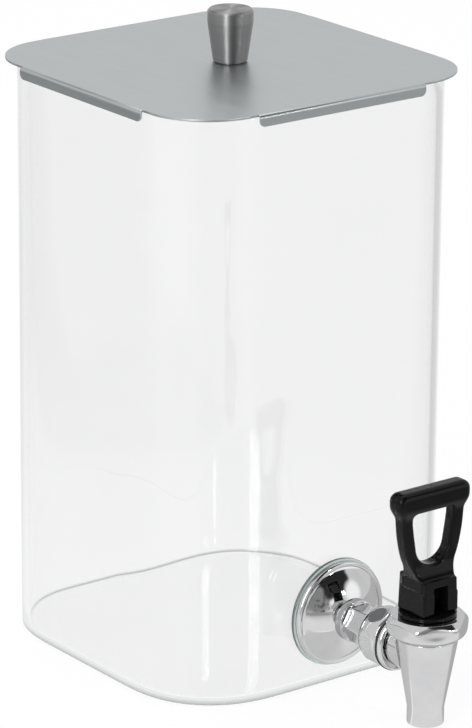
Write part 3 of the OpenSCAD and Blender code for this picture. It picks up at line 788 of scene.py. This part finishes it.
def make_nuts():
    near, far, bore_r, flange_r, flange_end = 33.0, 45.0, 6.6, 14.6, 47.2
    bulge_r, bulge_at, bulge_bend = 14.55, 39.6, 0.047
    barrel = [(bulge_r - bulge_bend * (h - bulge_at) ** 2, h, 0) for h in np.linspace(near + 0.35, far, 22)]
    profile = eased([
        (bore_r, near + SKIN, 0.2), (12.3, near + SKIN, 0.25), *barrel, (13.0, 45.4, 0.2), (flange_r, 45.8, 0.35),
        (flange_r, flange_end, 0.55), (bore_r, flange_end, 0.2),
    ], True, 5)
    chrome_turning("coupling_hexagon_nut", "coupling_nut", refined(profile, 0.35), on_shank, 288,
                   hexagon(27.4, turn=28.0, crisp=160))

    flats, bore_r, chamfer_r, back, front = 24.0, 8.05, 12.0, -12.7, -6.7 - SKIN
    corner_r = flats / math.cos(math.radians(30)) / 2 + 0.3
    profile = eased([
        (bore_r, back, 0.5), (chamfer_r, back, 0.2), (corner_r, -11.2, 0), (corner_r, -8.2, 0),
        (chamfer_r, front, 0.2), (bore_r, front, 0.5),
    ], True, 5)
    chrome_turning("lock_hexagon_nut", "lock_nut", refined(profile, 0.4), on_shank, 192, hexagon(flats))

    low, top, neck_r, stem_r, ceiling = 45.3, 56.1, 13.05, 6.55, 52.0 + SKIN
    profile = eased([
        (neck_r, low, 0.2), (15.2, low, 0.4), (18.6, 47.9, 3.0), (20.5, 52.5, 2.6), (17.0, top, 0.5),
        (stem_r, top, 0.2), (stem_r, ceiling, 0.1), (neck_r, ceiling, 0.2),
    ], True, 5)
    chrome_turning("bonnet_hexagon_nut", "bonnet_nut", refined(profile, 0.35), on_tap, 288,
                   hexagon(36.0, turn=-25.0, crisp=24, fade=(44.9, 51.9)))


def make_wall_fitting():
    ring_piece("clear_outer_gasket", "outer_gasket", (8.1, 26.4), (SKIN, 1.8), 0.5, CLEAR_GASKET, "clear_gasket",
               around=128)
    make_escutcheon()
    make_shank()
    ring_piece("clear_inner_gasket", "inner_gasket", (8.1, 14.5), (-5.5, -3.5 - SKIN), 0.4, CLEAR_GASKET,
               "clear_gasket")
    ring_piece("flat_inner_washer", "inner_washer", (8.3, 13.5), (-6.7, -5.5 - SKIN), 0.2, PLAIN_STEEL,
               "fastener_steel")
    make_nuts()
    ring_piece("coupling_seal_ring", "coupling_seal", (6.6, 14.2), (47.2 + SKIN, 48.2 - SKIN), 0.3, DARK_SEAL,
               "dark_seal")


make_wall_fitting()


# Tap body

def body_form(p):
    """Distance to the cast tap body: spout and cone, threaded neck and inlet boss, without its passages."""
    x, y, z = p[:, 0], p[:, 1] - TAP_Y, p[:, 2]
    r = np.hypot(x, y)
    ease, low, top, shoulder = 0.5, 2.4, 49.5, 44.9
    spout_r, cone_start, cone_r, neck_r = 8.7, 10.5, 14.75, 13.0
    shell = both_sides([(0, low), (spout_r, low), (spout_r, cone_start), (cone_r, shoulder), (neck_r, shoulder),
                        (neck_r, top), (0, top)])
    inset = [(a - math.copysign(ease, a) if a else 0, min(max(b, low + ease), top - ease)) for a, b in shell]
    outside = polygon_distance(r, z, inset) - ease
    # The inlet boss, with a flare and a groove by its face, ends at the bonnet nut
    out, across = WALL_Y - p[:, 1], np.hypot(x, z - TAP_Z)
    face, end, boss_r, flare_r, flare = 48.2, 68.0, 10.8, 11.3, 2.6
    boss = np.maximum(across - boss_r, np.maximum(face - out, out - end))
    lip = np.hypot(np.maximum(across - flare_r, 0), out - face) - flare
    lip = np.maximum(lip, np.maximum(face - out, across - flare_r - flare))
    boss = merged(boss, lip, 0.5)
    groove_at, groove_half, groove_r = 51.0, 0.6, 8.4
    groove = np.maximum(np.abs(out - groove_at) - groove_half, groove_r - across)
    boss = cut_from(boss, groove, 0.2)
    nut = both_sides([(0, shoulder), (15.6, shoulder), (19.0, 47.5), (20.9, 52.5), (17.4, 56.5), (0, 56.5)])
    boss = cut_from(boss, polygon_distance(r, z, nut), 0.3)
    form = merged(outside, boss, 1.2)
    # The spout's bore, the valve's seat and chamber, and the inlet from the shank
    bore = both_sides([(0, -5), (7.2, -5), (7.2, 20), (6, 22), (6, 24), (9.5, 24), (9.5, 60), (0, 60)])
    shank_r, shank_end, inlet_r = 6.55, 57.0, 4.0
    passage = np.minimum(np.maximum(across - shank_r, out - shank_end), np.maximum(across - inlet_r, out - end))
    return cut_from(cut_from(form, polygon_distance(r, z, bore), 0.5), passage, 0.3)


def make_tap():
    reach, cell = 14.9, 0.5
    body = cast_piece("cast_tap_body", body_form, (-reach, TAP_Y - reach, 2.3), (reach, WALL_Y - 48.1, 49.6), cell,
                      CHROME)
    settle(body, "dispenser", "tap_body", slot="tap_chrome")
    ring_piece("handle_wear_ring", "handle_ring", (3.5, 13.6), (56.1 + SKIN, 58.1), 0.6, BLACK_HANDLE, "handle_black",
               body="swivel_ring", place=on_tap)


make_tap()


# Handle

LOOP_OUTER = [(9.9, 12.0), (10.0, 17.0), (11.4, 20.5), (13.0, 24.0), (14.1, 26.0), (14.85, 28.0), (15.45, 30.0),
              (15.95, 32.0), (16.4, 34.0), (16.8, 36.0), (17.15, 38.0), (17.45, 40.0), (17.65, 42.0), (18.0, 46.0),
              (18.3, 50.0), (18.6, 57.0)]
LOOP_OUTER = LOOP_OUTER + [(-a, b) for a, b in reversed(LOOP_OUTER)]


def opening_outline():
    """The loop's opening: a round bottom, sides that lean out and eased top corners."""
    round_r, round_z, sweep = 10.0, 33.2, np.radians(np.linspace(-84, 84, 27))
    corners = [(round_r * math.sin(a), round_z - round_r * math.cos(a), 0) for a in sweep]
    side = [(11.2, 39.5, 8.0), (11.9, 44.5, 8.0), (11.9, 49.3, 3.0)]
    corners += side + [(-a, b, radius) for a, b, radius in reversed(side)]
    return eased(corners, True, 6)


LOOP_OPENING = opening_outline()
BAR_HALF, BAR_LOW, BAR_TOP = 21.2, 49.3, 60.3
BAR_FACE = eased([(-BAR_HALF, BAR_LOW, 4.8), (BAR_HALF, BAR_LOW, 4.8), (BAR_HALF, BAR_TOP, 4.4),
                  (-BAR_HALF, BAR_TOP, 4.4)], True, 8)
HEEL_TILTS = np.radians(np.linspace(0, 25, 13))


def handle_form(p):
    """Distance to the moulded handle: block, neck, loop and bar, without the stem's slot and the pin's hole."""
    x, y, z = p[:, 0], p[:, 1] - TAP_Y, p[:, 2] - HANDLE_Z
    edge, pin_up, lift_rate = 0.7, 7.0, 6.4
    block_half, block_lean, lean_top, corner_r = 9.9, 0.45, 17.0, 13.7
    half = block_half - block_lean * np.clip(z / lean_top, 0, 1)
    corners = np.hypot(x, y) - corner_r
    flat = np.maximum(overlap(np.abs(x) - half, np.abs(y) - half, edge), corners)
    # Beside the slot the block's cheeks stand a little proud, up to a slanting edge
    proud, cheek_back, cheek_top, cheek_slope = 0.4, 2.0, 7.0, 0.45
    slant = np.maximum(y + cheek_back, z - cheek_top + cheek_slope * (y + cheek_back)) * 0.7
    cheek = np.maximum(np.maximum(np.abs(x) - half - proud, slant), corners)
    flat = merged(flat, np.maximum(cheek, np.abs(y) - half), 0.25)
    # The heel is what all the tilts leave of the block's underside
    heel = np.full(x.shape, -1e9)
    for tilt in HEEL_TILTS:
        height = y * math.sin(tilt) + (z - pin_up) * math.cos(tilt)
        heel = np.maximum(heel, -(pin_up + lift_rate * tilt) - height)
    block_top, top_slope = 17.5, 0.06
    block = overlap(flat, np.maximum(heel, z - block_top - top_slope * y), edge)
    # The loop thickens into a neck where it leaves the block
    loop_half, neck_more, neck_low, neck_run, bar_half, through = 3.5, 4.6, 16.5, 12.0, 5.1, 30.0
    rise = np.clip((z - neck_low) / neck_run, 0, 1)
    loop = slab(polygon_distance(x, z, LOOP_OUTER), y, loop_half + neck_more * (1 - rise) ** 2.6, 1.4)
    bar = slab(polygon_distance(x, z, BAR_FACE), y, bar_half, 3.4)
    form = merged(loop, bar, 3.2)
    form = cut_from(form, slab(polygon_distance(x, z, LOOP_OPENING), y, through, 0.5), 1.6)
    form = merged(form, block, 0.9)
    slot_half, slot_back, slot_top, pin_r, pin_end = 4.0, 4.6, 13.5, 2.05, -7.8
    slot = np.maximum(np.maximum(np.abs(x) - slot_half, y - slot_back), z - slot_top)
    form = cut_from(form, slot, 0.4)
    pin_hole = np.maximum(np.hypot(y, z - pin_up) - pin_r, pin_end - x)
    return cut_from(form, pin_hole, 0.3)


def make_handle():
    half_width, half_depth, height, cell = 21.3, 10.2, 60.4, 0.55
    low = (-half_width, TAP_Y - half_depth, HANDLE_Z)
    high = (half_width, TAP_Y + half_depth, HANDLE_Z + height)
    handle = cast_piece("moulded_loop_handle", handle_form, low, high, cell, BLACK_HANDLE)
    settle(handle, "lever", "handle", slot="handle_black")


make_handle()


# Inside the tap

def make_valve_spring():
    """A coil of round wire as long as the spring's part; the real spring shortens as the stem lifts towards the bush.
    """
    wire_r, coil_r, turns, per_turn, sides = 0.5, 5.2, 6, 40, 12
    low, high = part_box("stem_spring")
    low_z, high_z = low[2] / MM + wire_r, high[2] / MM - wire_r
    verts = []
    for k in range(turns * per_turn + 1):
        turn = 2 * math.pi * k / per_turn
        height = low_z + (high_z - low_z) * k / (turns * per_turn)
        for a in np.linspace(0, 2 * math.pi, sides, endpoint=False):
            r = coil_r + wire_r * math.cos(a)
            verts.append((r * math.cos(turn), TAP_Y + r * math.sin(turn), height + wire_r * math.sin(a)))
    rings = [range(first, first + sides) for first in range(0, len(verts), sides)]
    faces = [face for low_ring, high_ring in zip(rings, rings[1:]) for face in band(low_ring, high_ring)]
    faces += [tuple(rings[0]), tuple(rings[-1])]
    spring = settle(new_piece("coiled_valve_spring", verts, faces, PLAIN_STEEL), "dispenser", "stem_spring",
                    slot="fastener_steel")
    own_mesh(spring)


make_valve_spring()

# The other pieces inside the tap keep their solids and take a finish
INSIDE_FINISHES = {
    "bonnet_seal": SOFT_SEAL,
    "stem_bush": WHITE_BUSH,
    "stem_seal": DARK_SEAL,
    "stem": BLACK_HANDLE,
    "seat_cup": SOFT_SEAL,
    "handle_pin": PLAIN_STEEL,
}
for node_name, finish in INSIDE_FINISHES.items():
    inside_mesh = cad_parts[node_name].data
    inside_mesh.materials.clear()
    inside_mesh.materials.append(finish)


# Stage: a pale floor, soft light and the camera

WHITE = (1, 1, 1, 1)
# Places that the room's reflections are made of: azimuth, elevation, half angle and soft edge, in degrees, and
# brightness. They are a dim back wall, a grey front to the left, a dark front with a darker spot, a window to the
# right and a lit spot low in front
ROOM_PATCHES = (
    (180, 45, 17, 6, 0.25), (-32, 22, 24, 8, 0.33), (18, 50, 28, 4, 0.03), (-6, 31, 10, 4, 0.04),
    (42, 17, 15, 6, 1.35), (-2, 12, 7, 3, 1.2),
)


def sent_on(tree, path):
    """1 on rays that a mirror or a clear wall has sent on."""
    return maths(tree, "MAXIMUM", path["Is Glossy Ray"], path["Is Transmission Ray"])


def seen_straight(tree):
    """1 on rays from the camera, also through clear walls, and 0 once they have met a mirror."""
    path = made(tree, "ShaderNodeLightPath").outputs
    direct = maths(tree, "LESS_THAN", path["Glossy Depth"], 0.5)
    through = maths(tree, "MULTIPLY", path["Is Transmission Ray"], direct)
    return maths(tree, "MAXIMUM", path["Is Camera Ray"], through)


def seen_through(tree):
    """1 on rays that have come through a clear wall, however often it has turned them."""
    path = made(tree, "ShaderNodeLightPath").outputs
    through = maths(tree, "GREATER_THAN", path["Transmission Depth"], 0.5)
    return maths(tree, "MULTIPLY", sent_on(tree, path), through)


def seen_mirrored(tree):
    """1 on rays that have met a mirror, and 0 on others."""
    path = made(tree, "ShaderNodeLightPath").outputs
    met = maths(tree, "GREATER_THAN", path["Glossy Depth"], 0.5)
    return maths(tree, "MULTIPLY", sent_on(tree, path), met)


def direction(azimuth, elevation):
    """Unit vector to a place in the room: azimuth 0 is in front of the tap, and positive to its right."""
    a, e = math.radians(azimuth), math.radians(elevation)
    return math.sin(a) * math.cos(e), -math.cos(a) * math.cos(e), math.sin(e)


def patch(tree, ray, azimuth, elevation, half_angle, soft):
    """1 within an angle of a place in the room, and 0 outside it, with a soft edge."""
    toward = vector_maths(tree, "DOT_PRODUCT", ray, direction(azimuth, elevation))
    outer, inner = math.radians(half_angle + soft), math.radians(half_angle - soft)
    return ranged(tree, toward, math.cos(outer), math.cos(inner), soft=True)


def toned(tree, below, share, tone):
    """A brightness that goes to another tone where the share is 1."""
    rest = maths(tree, "MULTIPLY", below, maths(tree, "SUBTRACT", 1.0, share))
    return maths(tree, "ADD", rest, maths(tree, "MULTIPLY", share, tone))


def make_floor():
    drop = -0.6
    points, faces = turned([(radius, drop) for radius in (0, 300, 900, 4000)], on_floor, 64, closed=False)
    floor_material = bpy.data.materials.new("pale_studio_floor")
    floor_material.use_nodes = True
    tree = floor_material.node_tree
    tree.nodes.clear()
    plain = made(tree, "ShaderNodeBsdfDiffuse", Color=(0.8, 0.8, 0.8, 1))
    # To the camera it is all but white by itself, and takes the object's shadow
    shaded = made(tree, "ShaderNodeBsdfDiffuse", Color=(0.14, 0.14, 0.14, 1))
    glow = made(tree, "ShaderNodeEmission", Color=WHITE, Strength=0.90)
    pale = tree.nodes.new("ShaderNodeAddShader")
    tree.links.new(shaded.outputs[0], pale.inputs[0])
    tree.links.new(glow.outputs[0], pale.inputs[1])

    from_tap = vector_maths(tree, "SUBTRACT", object_place(tree), (0.0, TAP_Y * MM, 0.0))
    length = vector_maths(tree, "LENGTH", from_tap)
    ray = vector_maths(tree, "NORMALIZE", from_tap)

    def side(azimuth, half_angle, soft):
        return patch(tree, ray, azimuth, 0, half_angle, soft)

    def distance(near, far, at_near=0.0, at_far=1.0):
        return ranged(tree, length, near, far, at_near, at_far)

    # In reflections it is a white table, dimmer far off, in front and to either side, with a lit stripe by the tap
    right = side(98, 27, 8)
    front = maths(tree, "MULTIPLY", distance(0.12, 0.30), side(40, 26, 18))
    behind = side(-152, 34, 10)
    left = maths(tree, "MULTIPLY", distance(0.07, 0.45), side(-34, 26, 14))
    stripe = maths(tree, "MULTIPLY", distance(0.02, 0.06, 1.0, 0.0), side(-115, 3, 2))
    tone = distance(0.9, 3.0, 1.0, 0.7)
    for share, brightness in (
        (right, 0.66), (front, 0.5), (behind, distance(0.3, 0.8, 0.8, 0.42)), (left, 0.42), (stripe, 1.35),
    ):
        tone = toned(tree, tone, share, brightness)
    mirrored = made(tree, "ShaderNodeEmission", Color=WHITE, Strength=tone)
    # Through a clear wall it is white, but for what the wall's edge turns to the right
    path = made(tree, "ShaderNodeLightPath").outputs
    turned_right = maths(tree, "MULTIPLY", right, maths(tree, "GREATER_THAN", path["Glossy Depth"], 0.5))
    even = made(tree, "ShaderNodeEmission", Color=WHITE, Strength=toned(tree, 1.0, turned_right, 0.64))
    seen = mix_shaders(tree, seen_mirrored(tree), plain.outputs[0], mirrored.outputs[0])
    seen = mix_shaders(tree, seen_through(tree), seen, even.outputs[0])
    seen = mix_shaders(tree, path["Is Camera Ray"], seen, pale.outputs[0])
    made(tree, "ShaderNodeOutputMaterial", Surface=seen)
    new_piece("studio_floor", points, faces, floor_material)


def make_world():
    world = bpy.data.worlds.new("soft_studio")
    bpy.context.scene.world = world
    world.use_nodes = True
    tree = world.node_tree
    tree.nodes.clear()
    white = made(tree, "ShaderNodeBackground", Color=WHITE, Strength=1.0)
    soft = made(tree, "ShaderNodeBackground", Color=WHITE, Strength=0.55)
    # In reflections the room is pale, with its patches and some dark things to the left
    ray = made(tree, "ShaderNodeTexCoord").outputs["Generated"]
    tone = 0.86
    for azimuth, elevation, half_angle, soft_edge, brightness in ROOM_PATCHES:
        tone = toned(tree, tone, patch(tree, ray, azimuth, elevation, half_angle, soft_edge), brightness)
    spots = ranged(tree, noise(tree, ray, scale=8.0, detail=2.0, rough=0.55), 0.50, 0.58)
    things = maths(tree, "MULTIPLY", spots, patch(tree, ray, -22, 12, 14, 6))
    room = made(tree, "ShaderNodeBackground", Color=WHITE, Strength=toned(tree, tone, things, 0.15))
    seen = mix_shaders(tree, seen_mirrored(tree), soft.outputs[0], room.outputs[0])
    seen = mix_shaders(tree, seen_straight(tree), seen, white.outputs[0])
    made(tree, "ShaderNodeOutputWorld", Surface=seen)


def softbox(name, place, aim, width, height, radiance):
    light = bpy.data.lights.new(name, "AREA")
    light.shape = "RECTANGLE"
    light.size = width
    light.size_y = height
    light.energy = radiance * math.pi * width * height
    obj = linked(name, light)
    obj.location = place
    obj.rotation_euler = (Vector(aim) - Vector(place)).to_track_quat("-Z", "Y").to_euler()


def make_lights():
    dome = (0, -0.095, 0.045)
    softbox("left_softbox", (-1.46, -0.91, 0.95), (0, 0, 0.12), width=0.45, height=1.3, radiance=6.4)
    softbox("top_softbox", (0.1, 0.5, 1.9), (0, 0, 0.1), width=1.2, height=1.0, radiance=1.4)
    softbox("front_lamp", (0.445, -1.196, 0.574), dome, width=0.10, height=0.12, radiance=22.0)
    softbox("front_lamp_low", (0.171, -1.312, 0.468), dome, width=0.08, height=0.09, radiance=22.0)


def make_camera():
    """The photograph's view, fitted to the vessel's, the lid's and the tap's outlines."""
    azimuth, elevation, roll = math.radians(-37.135), math.radians(18.4646), math.radians(0.3735)
    aim = Vector((0.2916, -5.6906, 136.9408)) * MM
    distance, lens, film = 2.05168, 211.571, 36.0
    back = Vector((math.sin(azimuth) * math.cos(elevation), -math.cos(azimuth) * math.cos(elevation),
                   math.sin(elevation)))
    level = Vector((math.cos(azimuth), math.sin(azimuth), 0.0))
    upright = back.cross(level)
    right = level * math.cos(roll) + upright * math.sin(roll)
    up = back.cross(right)
    camera = bpy.data.cameras.new("photo_camera")
    camera.sensor_fit = "VERTICAL"
    camera.sensor_height = film
    camera.lens = lens
    camera.clip_end = 50.0
    obj = linked("photo_camera", camera)
    place = aim + back * distance
    obj.matrix_world = Matrix((
        (right.x, up.x, back.x, place.x),
        (right.y, up.y, back.y, place.y),
        (right.z, up.z, back.z, place.z),
        (0, 0, 0, 1),
    ))
    bpy.context.scene.camera = obj


make_floor()
make_world()
make_lights()
make_camera()
bpy.context.scene.view_settings.view_transform = "Standard"
